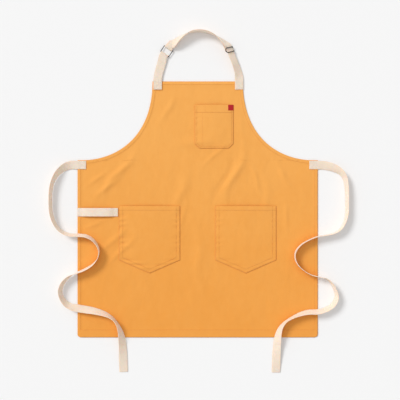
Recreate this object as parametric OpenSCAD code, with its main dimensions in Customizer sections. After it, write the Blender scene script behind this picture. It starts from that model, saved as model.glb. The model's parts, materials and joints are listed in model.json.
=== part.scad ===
// Bib apron lying flat, front side up.
// X runs across the apron, Y towards the neck, Z up. The origin is on the back face of the cloth,
// at the centre front on the waist line, where the armholes meet the sides. Millimetres.

/* [Panel] */
// Width of the skirt, side to side
panel_w = 814; // [600:1:1000]
// Length from the waist line to the hem
skirt_len = 600; // [400:1:800]
// Length from the waist line to the top of the bib
bib_len = 267; // [200:1:320]
// Width of the bib at its top
bib_w = 306; // [260:1:340]
// Thickness of the twill
cloth_t = 0.9; // [0.5:0.1:1.5]
// Width of the side, armhole and bib-top hems
hem_w = 12; // [8:1:20]
// Width of the bottom hem
bottom_hem_w = 27; // [15:1:40]
// Radius of the two bottom corners
corner_r = 10; // [4:1:30]

/* [Pockets] */
// Width of each hip pocket
hip_w = 207; // [150:1:230]
// Height of each hip pocket at its sides
hip_h = 183; // [120:1:220]
// How far the point at the foot of a hip pocket drops below its sides
hip_point = 45; // [10:1:80]
// Distance from the centre front to the middle of each hip pocket
hip_x = 163; // [125:1:200]
// Distance from the waist line down to the mouth of the hip pockets
hip_top = 155; // [100:1:220]
// Width of the chest pocket
chest_w = 131; // [100:1:150]
// Height of the chest pocket
chest_h = 147; // [100:1:165]
// Size of the cut at its two bottom corners
chest_cut = 16; // [4:1:30]
// Distance from the centre front to the middle of the chest pocket
chest_x = 55.6; // [20:0.1:70]
// Height of its mouth above the waist line
chest_top = 187; // [150:1:200]
// Width of the pen slot, from the pocket's edge to the dividing seam
pen_w = 26; // [15:1:35]
// How far the mouth of a pocket stands off the apron
puff = 5.6; // [5:0.1:9]
// Mouth hem of the hip pockets
hip_hem = 15.6; // [10:0.1:25]
// Mouth hem of the chest pocket
chest_hem = 27; // [15:1:35]
// Width and height of the woven tag at the chest pocket's corner
tag_size = [18, 19]; // [10:1:30]

/* [Webbing] */
// Width of the webbing
web_w = 28.6; // [20:0.1:38]
// Thickness of the webbing
web_t = 1.5; // [1:0.1:2]
// Length of a strap end sewn on to the bib
neck_tab = 29; // [20:1:40]
// Length of a tie end sewn on to the waist
tie_tab = 29; // [20:1:40]
// Clear length of the towel loop between its two sewn ends
loop_span = 115; // [80:1:125]
// How far the towel loop stands off the apron
loop_lift = 6; // [5.5:0.1:12]
// Height of the towel loop's centre line below the waist line
loop_drop = 176; // [100:1:180]

/* [Neck hardware] */
// Thickness of the ring's and the slide's wire
wire_d = 2.4; // [2:0.1:3]
// Length of the ring along the strap, between its two cross bars
ring_len = 24; // [16:1:30]
// Distance between the end bars of the slide
slide_len = 16; // [14:1:24]
// Gap between a strap and what it passes through or over
gap = 0.4; // [0.35:0.05:1]

/* [Thread] */
// Width of a line of stitching
thread_w = 0.9; // [0.5:0.1:1.5]
// Height of a line of stitching
thread_h = 0.4; // [0.3:0.1:0.8]

/* [Output] */
// Sub-part to make

/* [Hidden] */
$fn = 32;
half_w = panel_w / 2;
half_bib = bib_w / 2;
hem_t = 2 * cloth_t;
TWILL = [0.93, 0.62, 0.28];
WEB = [0.90, 0.84, 0.76];
METAL = [0.25, 0.2, 0.17];
THREAD = [0.97, 0.72, 0.38];

// Pockets: middle, mouth height, width, side height, drop of the point, corner cut, mouth hem
HIP_L = [-hip_x, -hip_top, hip_w, hip_h, hip_point, 0, hip_hem];
HIP_R = [hip_x, -hip_top, hip_w, hip_h, hip_point, 0, hip_hem];
CHEST = [chest_x, chest_top, chest_w, chest_h, 0, chest_cut, chest_hem];

// Neck straps: the two tabs end at the bib top, and fold there
tab_y = bib_len + 1;
tab_l = -half_bib + 17.4;
tab_r = half_bib - 12.7;
fold_y = tab_y + 2 * gap;
fold_z = hem_t + 2 * web_t + 3 * gap;

// The slide's place, its heading from +X and its lean, and the ring's place and heading
slide_at = [108, 371];
slide_dir = 112;
slide_roll = 37;
slide_z = web_w / 2 * sin(slide_roll) + 6.4;
slide_go = 34;
ring_at = [-105, 369];
ring_dir = 56;
ring_tilt = 3;
bend_d = 1.02 * wire_d;
bar_n = wire_d / 2 + gap + web_t / 2;
bar_low = bar_n + web_t + gap;
slack = ring_len * sin(ring_tilt) + gap / 2;
ring_z = bar_n + slack + web_t / 2 + gap;

// Free ties, left one: distance out from the side seam, height on the apron, lean of the webbing
TIE_L = [
    [0, -16, 0], [25, -17, -12], [48, -28, -40], [68, -48, -62], [82, -75, -74], [88, -105, -78],
    [89, -135, -78], [88, -168, -78], [81, -199, -78], [67, -226, -78], [45, -245, -75],
    [20, -252, -72], [-5, -253, -72], [-31, -256, -74], [-53, -268, -80], [-69, -288, -88],
    [-75, -310, -92], [-69, -333, -95], [-52, -353, -100], [-28, -368, -102], [0, -380, -96],
    [26, -393, -78], [47, -415, -70], [56, -441, -70], [49, -468, -68], [29, -490, -55],
    [0, -499, -40], [-30, -504, -40], [-60, -509, -50], [-90, -517, -65], [-115, -529, -80],
    [-132, -546, -85], [-144, -570, -70], [-151, -600, -45], [-154, -636, -28], [-155, -676, -10],
    [-156, -717, 0]];
TIE_R = [
    [0, -16, 0], [25, -18, -8], [50, -25, -25], [73, -38, -50], [88, -58, -66], [94, -85, -74],
    [96, -118, -77], [96, -151, -78], [95, -182, -80], [87, -212, -84], [72, -235, -87],
    [49, -248, -89], [22, -254, -90], [-4, -258, -91], [-32, -269, -92], [-59, -285, -92],
    [-77, -308, -92], [-79, -332, -91], [-68, -355, -90], [-47, -374, -90], [-26, -386, -90],
    [-2, -393, -88], [23, -398, -85], [42, -413, -80], [56, -438, -76], [61, -463, -73],
    [50, -487, -70], [29, -502, -67], [-2, -511, -64], [-32, -512, -66], [-59, -518, -74],
    [-84, -528, -84], [-108, -542, -88], [-125, -561, -75], [-134, -584, -55], [-138, -611, -36],
    [-140, -648, -20], [-141, -683, -8], [-142, -719, 0]];
tie_y = TIE_L[0][1];

// Long neck strap between the bib and the slide, and between the slide and the ring
NECK_UP = [[tab_r, fold_y + gap, 0, hem_t + web_t / 2], [tab_r, 283, 10, 3.8], [136.5, 300, 26, 7.6]];
NECK_OVER = [[93, 394, 48, 14.8], [79, 407, 64, 15.4], [62, 419, 78, 15.6], [42, 429, 87, 15.8],
    [24, 434, 90, 15.8], [5, 436, 90, 15.8], [-16, 434, 87, 15.8], [-36, 427, 77, 15.6],
    [-53, 417, 64, 15.2], [-68, 406, 48, 13.8], [-81, 395, 28, 10.6]];
NECK_SHORT = [[tab_l, fold_y + gap, 0, hem_t + web_t + gap / 2],
    [tab_l, fold_y + 5, 0, hem_t + web_t + gap / 2], [-133, 290, 0, 3.6],
    [-127, 312, 0, 3.4], [-121.5, 332, 0, 4]];

// Unit vector, and a straight mix of two values
function unit(v) = v / norm(v);
function mix(a, b, t) = a + (b - a) * t;

// Point on the smooth curve through the points p, after point i
function curve_at(p, i, t) =
    let (n = len(p) - 1, a = p[max(i - 1, 0)], b = p[i], c = p[min(i + 1, n)], d = p[min(i + 2, n)])
    (2 * b + (c - a) * t + (2 * a - 5 * b + 4 * c - d) * t * t
        + (3 * b - a - 3 * c + d) * t * t * t) / 2;
function smooth(p) = concat([for (i = [0 : len(p) - 2]) for (t = [0, 0.5]) curve_at(p, i, t)],
    [p[len(p) - 1]]);

// Stations of a strap, [centre, width direction]: route points are [x, y, lean, z]
function heading(p, i) = let (d = p[min(i + 1, len(p) - 1)] - p[max(i - 1, 0)]) atan2(d.y, d.x);
function across(h, lean) = [-sin(h) * cos(lean), cos(h) * cos(lean), sin(lean)];
function stations(p, n = 0) = [for (i = [0 : len(p) - 1])
    let (h = heading(p, i), w = across(h, p[i][2]), up = cross([cos(h), sin(h), 0], w))
        [[p[i].x, p[i].y, p[i][3]] + n * up, w]];

// Stations of a fold that goes round a bar at c: h is the way in, lean the strap's own lean,
// n the distance of each layer from the bar, turning from the top layer to the bottom one
function fold(c, h, lean, n, k = 6) = let (w = across(h, lean), t = [cos(h), sin(h), 0],
    up = cross(t, w)) [for (i = [0 : k]) let (a = 90 - 180 * i / k)
        [c + bar_n * cos(a) * t + n * sin(a) * up, w]];

// Band of thickness t and width w swept through the stations s
module band(s, w = web_w, t = web_t) {
    last = len(s) - 1;
    ring = function (i) let (d = unit(s[min(i + 1, last)][0] - s[max(i - 1, 0)][0]),
        m = unit(cross(d, s[i][1])) * t / 2, e = s[i][1] * w / 2, c = s[i][0])
        [c + e + m, c - e + m, c - e - m, c + e - m];
    polyhedron([for (i = [0 : last]) each ring(i)], concat([[0, 1, 2], [0, 2, 3]],
        [for (i = [0 : last - 1]) for (k = [0 : 3]) let (a = 4 * i + k, b = 4 * i + (k + 1) % 4)
            each [[a, a + 4, b + 4], [a, b + 4, b]]],
        [[4 * last + 2, 4 * last + 1, 4 * last], [4 * last + 3, 4 * last + 2, 4 * last]]));
}

// Pocket p: foot of the cloth at fraction u of the half width, and the stand-off at u, v
function foot(p, u) = p[3] + p[4] * (1 - abs(u)) - max(0, p[5] - p[2] / 2 * (1 - abs(u)));
function stand_off(u, v) = puff * (1 - pow(u, 4)) * (1 - v * v);
function depth(p, u, v) = let (h = p[6] / foot(p, 0))
    v <= h ? v * foot(p, 0) : mix(p[6], foot(p, u), (v - h) / (1 - h));
function on_pocket(p, u, v, lift) = [p[0] + u * p[2] / 2, p[1] - depth(p, u, v),
    cloth_t + stand_off(u, v) + lift];
function layers(p, v) = (v * foot(p, 0) < p[6] ? 2 : 1) * cloth_t;

// Sheet of cloth that follows pocket p over the fractions us by vs, low and high above the gap
module draped(p, us, vs, low, high) {
    n = len(us);
    half = n * len(vs);
    at = function (i, j) n * j + i;
    quads = [for (j = [0 : len(vs) - 2]) for (i = [0 : n - 2])
        [at(i, j), at(i + 1, j), at(i + 1, j + 1), at(i, j + 1)]];
    rim = concat([for (i = [0 : n - 2]) at(i, 0)], [for (j = [0 : len(vs) - 2]) at(n - 1, j)],
        [for (i = [n - 1 : -1 : 1]) at(i, len(vs) - 1)], [for (j = [len(vs) - 1 : -1 : 1]) at(0, j)]);
    polyhedron(concat([for (v = vs) for (u = us) on_pocket(p, u, v, low)],
        [for (v = vs) for (u = us) on_pocket(p, u, v, high(v))]),
        concat([for (q = quads) each [[q[2], q[1], q[0]], [q[3], q[2], q[0]]]],
        [for (q = quads) each [[q[0], q[1], q[2]] + [half, half, half],
            [q[0], q[2], q[3]] + [half, half, half]]],
        [for (k = [0 : len(rim) - 1]) let (a = rim[k], b = rim[(k + 1) % len(rim)])
            each [[a, b, b + half], [a, b + half, a + half]]]));
}
steps = [-1, -0.92, -0.8, -0.6, -0.3, 0, 0.3, 0.6, 0.8, 0.92, 1];
function rows(p) = let (h = p[6] / foot(p, 0)) concat([0, h / 2, h - 0.001, h + 0.001],
    [for (k = [1 : 7]) mix(h, 1, k / 7)]);
module pocket(p) {
    cut = p[5] > 0 ? 1 - 2 * p[5] / p[2] : 0.8;
    us = [for (u = steps) abs(u) == 0.8 ? sign(u) * cut : u];
    draped(p, us, rows(p), 0, function (v) layers(p, v));
}

// Line of stitching through points that lie on the cloth
module stitch(p) {
    band([for (q = p) [q + [0, 0, thread_h / 2 + 0.2],
        let (i = search([q], p)[0], d = p[min(i + 1, len(p) - 1)] - p[max(i - 1, 0)])
            unit([-d.y, d.x, 0])]], thread_w, thread_h);
}
function seam(p, a, b, k = 8) = [for (i = [0 : k]) let (u = mix(a[0], b[0], i / k),
    v = mix(a[1], b[1], i / k)) on_pocket(p, u, v, layers(p, v))];
module pocket_seams(p, edge, inner, start = 0.01) {
    h = p[6] / foot(p, 0);
    for (in = [edge, inner]) let (u = 1 - 2 * in / p[2], v = 1 - in / foot(p, 1)) {
        for (s = [-u, u]) {
            stitch(seam(p, [s, start], [s, h - 0.006], 2));
            stitch(seam(p, [s, h + 0.006], [s, v]));
        }
        stitch(seam(p, [-u + 0.02, v], [u - 0.02, v], 16));
    }
    stitch(seam(p, [-0.97 + 2 * inner / p[2], 0.93 * p[6] / foot(p, 0)],
        [0.97 - 2 * inner / p[2], 0.93 * p[6] / foot(p, 0)], 10));
}

// Armhole, from the bib's corner to the waist corner, moved in by m
function arm(t, m = 0) = let (a = [half_bib, bib_len], b = [half_bib, bib_len - 200],
    c = [half_w - 120, -5], d = [half_w, 0], s = 1 - t,
    q = s * s * s * a + 3 * s * s * t * b + 3 * s * t * t * c + t * t * t * d,
    g = unit(s * s * (b - a) + 2 * s * t * (c - b) + t * t * (d - c))) q + m * [g.y, -g.x];
function arm_line(m) = [for (i = [0 : 24]) arm(i / 24, m)];
function corner() = [for (a = [0 : 15 : 90]) [half_w - corner_r + corner_r * cos(a),
    -skirt_len + corner_r - corner_r * sin(a)]];
module outline(m = 0) {
    right = concat([[0, bib_len]], arm_line(m), corner(), [[0, -skirt_len]]);
    polygon(right);
    mirror([1, 0]) polygon(right);
}
module field() intersection() {
    outline(hem_w);
    translate([-half_w + hem_w, -skirt_len + bottom_hem_w])
        square([panel_w - 2 * hem_w, skirt_len - bottom_hem_w + bib_len - hem_w]);
}
module both() { children(); mirror([1, 0, 0]) children(); }
module line(x, y, w, h, z) translate([x, y, z]) cube([w, h, thread_h]);
module box_stitch(x, y, w, h, z) {
    for (k = [-1, 1]) {
        line(x + k * (w / 2 - thread_w / 2) - thread_w / 2, y - h / 2, thread_w, h, z);
        line(x - w / 2, y + k * (h / 2 - thread_w / 2) - thread_w / 2, w, thread_w, z);
        translate([x, y, z + thread_h / 2]) rotate(k * atan2(h, w))
            cube([norm([w, h]) - 3, thread_w, thread_h], center = true);
    }
}
module tab(x, y, l, t) translate([x - web_w / 2, y - l, hem_t]) cube([web_w, l, t]);

module apron_panel() color(TWILL) {
    linear_extrude(cloth_t) outline();
    linear_extrude(hem_t) difference() { outline(); field(); }
}
module left_hip_pocket() color(TWILL) pocket(HIP_L);
module right_hip_pocket() color(TWILL) pocket(HIP_R);
module chest_pocket() color(TWILL) pocket(CHEST);
module pocket_tag() color([0.6, 0.1, 0.12]) {
    u = 1 - 2 * tag_size.x / chest_w;
    v = tag_size.y / chest_h;
    draped(CHEST, [u, mix(u, 1, 0.4), mix(u, 1, 0.75), 1], [0, v / 2, v], hem_t + 0.1,
        function (v) hem_t + 0.9);
}
module towel_loop() color(WEB) {
    end = half_w - loop_span - 22;
    route = [[-half_w, 0.3], [-half_w + 11, 0.3], [-half_w + 24, 0.75 * loop_lift],
        [-half_w + 36, loop_lift], [-half_w + 11 + loop_span / 2, loop_lift + 0.8],
        [-end - 36, loop_lift], [-end - 24, 0.75 * loop_lift], [-end - 11, 0.3], [-end, 0.3]];
    band([for (q = route) [[q.x, -loop_drop, hem_t + web_t / 2 + q.y], [0, 1, 0]]]);
}
module short_strap_tab() color(WEB) tab(tab_l, tab_y, neck_tab, 2 * web_t + gap);
module long_strap_tab() color(WEB) tab(tab_r, tab_y, neck_tab, web_t);
module short_neck_strap() color(WEB) {
    bar = concat(ring_at - ring_len / 2 * [cos(ring_dir), sin(ring_dir)], [ring_z]);
    near = concat(ring_at - (ring_len / 2 + 10) * [cos(ring_dir), sin(ring_dir)], [0, ring_z - 0.2]);
    route = smooth(concat(NECK_SHORT, [near]));
    flat = stations(route, (web_t + gap) / 2);
    back = stations(route, -(web_t + gap) / 2);
    n = len(flat) - 1;
    band(concat(flat, fold(bar, ring_dir, 0, bar_n), [for (i = [n : -1 : 0]) back[i]]));
}
module long_neck_strap() color(WEB) {
    run = function (a) concat(slide_at + a * [cos(slide_dir), sin(slide_dir)],
        [slide_roll, slide_z]);
    bar = concat(ring_at + ring_len / 2 * [cos(ring_dir), sin(ring_dir)], [ring_z]);
    near = concat(ring_at + (ring_len / 2 + 14) * [cos(ring_dir), sin(ring_dir)], [2, ring_z + 1.6]);
    up = concat(smooth(concat(NECK_UP, [run(-slide_go - slide_len / 2 - 8)])),
        [run(-slide_go - slide_len / 2 - 2)]);
    over = concat([run(slide_len / 2 + 2)],
        smooth(concat([run(slide_len / 2 + 8)], NECK_OVER, [near])));
    back = stations(over, -bar_n);
    n = len(back) - 1;
    band(concat(stations(up), stations(over),
        fold(bar, ring_dir + 180, 0, bar_n + slack),
        [for (i = [n : -1 : 6]) back[i]]));
}
module placed() translate(concat(slide_at, [slide_z])) rotate(slide_dir) rotate([slide_roll, 0, 0])
    children();
module long_strap_end() color(WEB) placed() {
    c = -bar_low;
    band([for (q = concat([[slide_len / 2 + 10, c - bar_n], [8, c - bar_n]],
        [for (a = [-90 : -30 : -270]) bar_n * [cos(a), sin(a)] + [0, c]],
        [[8, c + 0.4], [14, c - 0.1]])) [[q.x, 0, q.y], [0, 1, 0]]]);
}
module bar(l) rotate([90, 0, 0]) cylinder(h = l, d = wire_d, center = true);
module strap_slide() color(METAL) placed() {
    reach = web_w / 2 + gap + wire_d / 2;
    tilt = atan2(bar_n + bar_low, slide_len / 2);
    for (k = [-1, 1]) {
        translate([k * slide_len / 2, 0, bar_n]) bar(2 * reach);
        for (side = [-reach, reach]) translate([k * slide_len / 2, side, bar_n]) {
            sphere(d = bend_d);
            rotate([0, k > 0 ? -90 - tilt : 90 + tilt, 0])
                cylinder(h = norm([slide_len / 2, bar_n + bar_low]), d = wire_d);
        }
    }
    for (side = [-reach, reach]) translate([0, side, -bar_low]) sphere(d = bend_d);
    translate([0, 0, -bar_low]) bar(2 * reach);
}
module strap_ring() color(METAL)
    translate(concat(ring_at, [ring_z])) rotate(ring_dir) {
        reach = web_w / 2 + 1 + wire_d / 2;
        for (k = [-1, 1]) {
            translate([k * ring_len / 2, 0, 0]) bar(2 * reach);
            translate([0, k * reach, 0]) rotate([0, 90, 0])
                cylinder(h = ring_len, d = wire_d, center = true);
            for (side = [-reach, reach]) translate([k * ring_len / 2, side, 0]) sphere(d = bend_d);
        }
    }

// The tie's own height above what it lies on: the apron inside the seams, the table outside
function tie_lift(q) = q[1] > tie_y - 1 ? hem_t
    : q[0] < 22 && q[1] > -skirt_len - 20 ? hem_t + gap + 0.1 : 0.3;
module tie(route) {
    flat = [for (q = smooth(route)) [-half_w - q[0], q[1], q[2],
        tie_lift(q) + web_w / 2 * abs(sin(q[2])) + web_t / 2]];
    s = stations(flat);
    band(concat([[[-half_w - 2 * gap, flat[0].y, flat[0][3]], [0, -1, 0]]],
        [for (i = [1 : len(s) - 1]) s[i]]));
}
module left_tie() color(WEB) tie(TIE_L);
module right_tie() color(WEB) mirror([1, 0, 0]) tie(TIE_R);
module left_tie_tab() color(WEB)
    translate([-half_w - gap, tie_y - web_w / 2, hem_t]) cube([tie_tab + gap, web_w, web_t]);
module right_tie_tab() color(WEB) mirror([1, 0, 0])
    translate([-half_w - gap, tie_y - web_w / 2, hem_t]) cube([tie_tab + gap, web_w, web_t]);

module side_stitching() color(THREAD) {
    x = half_w - hem_w + 1;
    foot_y = -skirt_len + bottom_hem_w + 1;
    end_y = tie_y - web_w / 2 - 2;
    pass = web_w / 2 + 1;
    line(x, foot_y, thread_w, end_y - foot_y, hem_t);
    line(-x - thread_w, foot_y, thread_w, -loop_drop - pass - foot_y, hem_t);
    line(-x - thread_w, -loop_drop + pass, thread_w, end_y + loop_drop - pass, hem_t);
}
module armhole_stitching() color(THREAD) both() {
    stop = half_w - tie_tab - 2;
    top = tab_y - neck_tab - 1;
    part = function (m) [for (i = [1 : 47]) let (q = arm(i / 48, m)) if (q.x < stop && q.y < top) q];
    inner = part(hem_w - 1.5);
    outer = part(hem_w - 1.5 - thread_w);
    translate([0, 0, hem_t]) linear_extrude(thread_h)
        polygon(concat(inner, [for (i = [len(outer) - 1 : -1 : 0]) outer[i]]));
}
module bib_top_stitching() color(THREAD)
    line(tab_l + web_w / 2 + 1, bib_len - hem_w + 1, tab_r - tab_l - web_w - 2, thread_w, hem_t);
module hem_stitching() color(THREAD)
    line(-half_w + 2, -skirt_len + bottom_hem_w - 1.5 - thread_w, panel_w - 4, thread_w, hem_t);
module left_hip_stitching() color(THREAD) pocket_seams(HIP_L, 2.5, 13);
module right_hip_stitching() color(THREAD) pocket_seams(HIP_R, 2.5, 13);
module chest_stitching() color(THREAD) pocket_seams(CHEST, 2, 7, tag_size.y / chest_h + 0.012);
module pen_slot_stitching() color(THREAD) {
    u = -1 + 2 * pen_w / chest_w;
    h = chest_hem / chest_h;
    stitch(seam(CHEST, [u, h + 0.02], [u, 0.93]));
    stitch(seam(CHEST, [u + 0.29, 0.02], [u + 0.29, 0.8 * h], 3));
}
module short_strap_stitching() color(THREAD)
    box_stitch(tab_l, tab_y - neck_tab / 2, web_w - 5, neck_tab - 5, hem_t + 2 * web_t + gap);
module long_strap_stitching() color(THREAD)
    box_stitch(tab_r, tab_y - neck_tab / 2, web_w - 5, neck_tab - 5, hem_t + web_t);
module left_tie_stitching() color(THREAD)
    box_stitch(-half_w + tie_tab / 2, tie_y, tie_tab - 5, web_w - 5, hem_t + web_t);
module right_tie_stitching() color(THREAD)
    box_stitch(half_w - tie_tab / 2, tie_y, tie_tab - 5, web_w - 5, hem_t + web_t);
module towel_loop_stitching() color(THREAD) for (k = [4, 8])
    line(-half_w + loop_span + 22 - k, -loop_drop - web_w / 2 + 2, thread_w, web_w - 4,
        hem_t + web_t + 0.3);
module strap_end_stitching() color(THREAD) placed()
    translate([12, -web_w / 2 + 3, -bar_low - bar_n - web_t / 2 - thread_h])
        cube([thread_w, web_w - 6, thread_h]);

apron_panel();
left_hip_pocket();
right_hip_pocket();
chest_pocket();
pocket_tag();
towel_loop();
short_strap_tab();
short_neck_strap();
long_strap_tab();
long_neck_strap();
long_strap_end();
strap_ring();
strap_slide();
left_tie_tab();
left_tie();
right_tie_tab();
right_tie();
side_stitching();
armhole_stitching();
bib_top_stitching();
hem_stitching();
left_hip_stitching();
right_hip_stitching();
chest_stitching();
pen_slot_stitching();
short_strap_stitching();
long_strap_stitching();
left_tie_stitching();
right_tie_stitching();
towel_loop_stitching();
strap_end_stitching();
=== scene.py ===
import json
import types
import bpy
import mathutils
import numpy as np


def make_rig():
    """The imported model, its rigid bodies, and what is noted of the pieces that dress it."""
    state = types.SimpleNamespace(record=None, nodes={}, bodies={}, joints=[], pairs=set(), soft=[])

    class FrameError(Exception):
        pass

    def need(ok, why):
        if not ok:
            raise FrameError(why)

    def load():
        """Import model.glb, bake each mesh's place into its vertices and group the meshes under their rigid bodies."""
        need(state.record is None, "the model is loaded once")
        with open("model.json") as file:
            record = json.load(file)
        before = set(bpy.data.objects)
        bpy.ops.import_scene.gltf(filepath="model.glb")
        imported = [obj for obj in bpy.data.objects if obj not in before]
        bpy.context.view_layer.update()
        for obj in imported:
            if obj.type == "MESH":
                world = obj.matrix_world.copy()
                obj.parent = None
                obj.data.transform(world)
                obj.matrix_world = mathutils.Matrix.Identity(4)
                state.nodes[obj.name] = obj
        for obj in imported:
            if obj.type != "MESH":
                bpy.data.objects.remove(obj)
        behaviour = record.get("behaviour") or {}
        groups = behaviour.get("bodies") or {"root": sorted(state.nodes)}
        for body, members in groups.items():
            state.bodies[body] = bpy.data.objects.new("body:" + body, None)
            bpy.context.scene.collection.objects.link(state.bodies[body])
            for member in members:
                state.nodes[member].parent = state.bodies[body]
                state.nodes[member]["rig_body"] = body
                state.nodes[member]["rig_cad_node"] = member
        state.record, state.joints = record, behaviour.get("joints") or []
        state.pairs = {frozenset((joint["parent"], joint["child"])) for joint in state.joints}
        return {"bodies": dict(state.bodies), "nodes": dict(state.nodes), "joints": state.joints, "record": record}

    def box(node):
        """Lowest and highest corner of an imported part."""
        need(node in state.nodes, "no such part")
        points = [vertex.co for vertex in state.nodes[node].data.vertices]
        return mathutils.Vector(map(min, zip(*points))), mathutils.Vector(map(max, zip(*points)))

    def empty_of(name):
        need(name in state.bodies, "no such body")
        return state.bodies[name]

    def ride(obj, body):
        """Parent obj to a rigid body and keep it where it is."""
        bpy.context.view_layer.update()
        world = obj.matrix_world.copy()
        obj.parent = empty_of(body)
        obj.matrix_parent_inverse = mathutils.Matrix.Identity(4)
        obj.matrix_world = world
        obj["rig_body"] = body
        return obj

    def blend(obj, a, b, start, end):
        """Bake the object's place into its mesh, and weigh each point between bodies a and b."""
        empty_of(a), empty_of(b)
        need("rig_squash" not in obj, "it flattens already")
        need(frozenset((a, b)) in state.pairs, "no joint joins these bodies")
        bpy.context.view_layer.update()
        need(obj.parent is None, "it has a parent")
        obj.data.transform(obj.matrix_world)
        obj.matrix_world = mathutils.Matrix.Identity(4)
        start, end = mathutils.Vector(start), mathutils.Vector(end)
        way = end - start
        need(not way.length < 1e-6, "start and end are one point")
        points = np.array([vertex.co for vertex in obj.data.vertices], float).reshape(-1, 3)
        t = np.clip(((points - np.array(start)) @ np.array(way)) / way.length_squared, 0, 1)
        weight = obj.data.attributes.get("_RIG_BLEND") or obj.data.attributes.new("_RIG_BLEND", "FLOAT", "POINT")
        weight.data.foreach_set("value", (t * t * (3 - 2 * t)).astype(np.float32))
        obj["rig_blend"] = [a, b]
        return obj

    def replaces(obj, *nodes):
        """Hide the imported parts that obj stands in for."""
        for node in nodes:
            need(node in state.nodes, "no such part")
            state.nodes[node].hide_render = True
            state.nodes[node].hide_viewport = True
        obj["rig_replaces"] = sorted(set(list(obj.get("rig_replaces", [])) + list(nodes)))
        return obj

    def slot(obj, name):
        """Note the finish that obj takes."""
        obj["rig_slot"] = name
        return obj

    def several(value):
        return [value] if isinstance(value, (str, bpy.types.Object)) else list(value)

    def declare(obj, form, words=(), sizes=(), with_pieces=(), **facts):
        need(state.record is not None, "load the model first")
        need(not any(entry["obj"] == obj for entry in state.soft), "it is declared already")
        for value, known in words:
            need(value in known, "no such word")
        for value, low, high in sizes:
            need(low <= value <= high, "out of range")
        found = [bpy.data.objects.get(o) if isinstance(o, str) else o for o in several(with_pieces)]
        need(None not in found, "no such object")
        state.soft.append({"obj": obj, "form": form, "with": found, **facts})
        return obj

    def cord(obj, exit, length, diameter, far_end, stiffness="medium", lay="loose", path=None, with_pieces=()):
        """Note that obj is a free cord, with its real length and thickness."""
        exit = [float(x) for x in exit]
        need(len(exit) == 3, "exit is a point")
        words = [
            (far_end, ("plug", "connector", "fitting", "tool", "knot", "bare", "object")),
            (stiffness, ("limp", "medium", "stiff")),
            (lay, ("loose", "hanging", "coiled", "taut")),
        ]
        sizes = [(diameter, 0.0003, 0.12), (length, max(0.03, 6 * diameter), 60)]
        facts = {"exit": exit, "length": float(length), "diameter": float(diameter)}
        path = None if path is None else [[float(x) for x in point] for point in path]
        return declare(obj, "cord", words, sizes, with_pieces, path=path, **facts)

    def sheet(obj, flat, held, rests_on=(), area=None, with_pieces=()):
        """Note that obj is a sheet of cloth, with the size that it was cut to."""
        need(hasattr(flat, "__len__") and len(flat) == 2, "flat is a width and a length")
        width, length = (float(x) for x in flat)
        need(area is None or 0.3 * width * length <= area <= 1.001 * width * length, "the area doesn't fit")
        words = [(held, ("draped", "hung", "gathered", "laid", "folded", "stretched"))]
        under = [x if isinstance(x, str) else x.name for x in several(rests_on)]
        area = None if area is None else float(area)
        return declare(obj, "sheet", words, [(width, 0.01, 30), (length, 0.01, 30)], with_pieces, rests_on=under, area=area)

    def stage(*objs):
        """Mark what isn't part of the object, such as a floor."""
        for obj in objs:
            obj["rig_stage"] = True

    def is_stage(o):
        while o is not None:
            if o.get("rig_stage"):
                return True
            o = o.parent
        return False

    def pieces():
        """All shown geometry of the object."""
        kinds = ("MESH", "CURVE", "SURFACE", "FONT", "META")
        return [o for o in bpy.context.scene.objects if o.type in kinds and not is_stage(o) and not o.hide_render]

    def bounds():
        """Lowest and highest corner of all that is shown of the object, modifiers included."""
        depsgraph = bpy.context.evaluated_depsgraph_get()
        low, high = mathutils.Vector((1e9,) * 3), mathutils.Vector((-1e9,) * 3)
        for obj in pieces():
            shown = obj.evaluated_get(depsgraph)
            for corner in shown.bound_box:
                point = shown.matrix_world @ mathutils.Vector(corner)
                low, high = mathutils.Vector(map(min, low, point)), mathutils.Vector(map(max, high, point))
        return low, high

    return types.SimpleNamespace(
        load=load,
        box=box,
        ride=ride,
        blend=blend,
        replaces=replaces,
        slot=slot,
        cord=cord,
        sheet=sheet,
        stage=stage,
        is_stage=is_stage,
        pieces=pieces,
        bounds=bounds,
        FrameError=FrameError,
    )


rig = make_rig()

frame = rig.load()

# %% [markdown]
# # A bib apron laid out flat
# The apron is one cut of mustard twill with patch pockets, cotton webbing for the neck strap and
# the waist ties, and two small pieces of wire hardware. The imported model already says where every
# piece is and how it moves. These cells replace its plain solids with cloth, webbing, thread and
# wire that look like the real things and still lie in the same places.

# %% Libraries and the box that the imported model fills
import json
import math

import bmesh
import bpy
import numpy as np
from mathutils import Matrix, Vector, noise

MM = 0.001
cad_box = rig.bounds()
print("packed model, metres:", [round(b - a, 3) for a, b in zip(*cad_box)])

# %% [markdown]
# ## Sizes that the cells share
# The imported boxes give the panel, the pockets and the tabs. What a box can't tell, such as how deep
# a hem is or how a curve runs, is named here once, in metres.

# %% Sizes
panel_low, panel_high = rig.box("apron_panel")
HALF_WIDTH = panel_high.x
BIB_TOP = panel_high.y
HEM_EDGE = panel_low.y
HALF_BIB = 153 * MM
CLOTH = 0.9 * MM
DOUBLE = 2 * CLOTH
SIDE_HEM, BOTTOM_HEM = 12 * MM, 27 * MM
WEB_WIDTH, WEB_THICK = 28.6 * MM, 1.5 * MM
WIRE = 2.4 * MM
# The webbing's half width and half thickness, in the millimetres that its routes use
HALF_WEB, HALF_THICK = 14.3, 0.75
print("panel", round(2 * HALF_WIDTH, 3), "x", round(BIB_TOP - HEM_EDGE, 3))

# %% [markdown]
# ## Camera
# The apron is seen from straight above, from about as far as a tall ladder allows, so the view is
# a perspective one and edges that stand up lean outwards a little.

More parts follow.
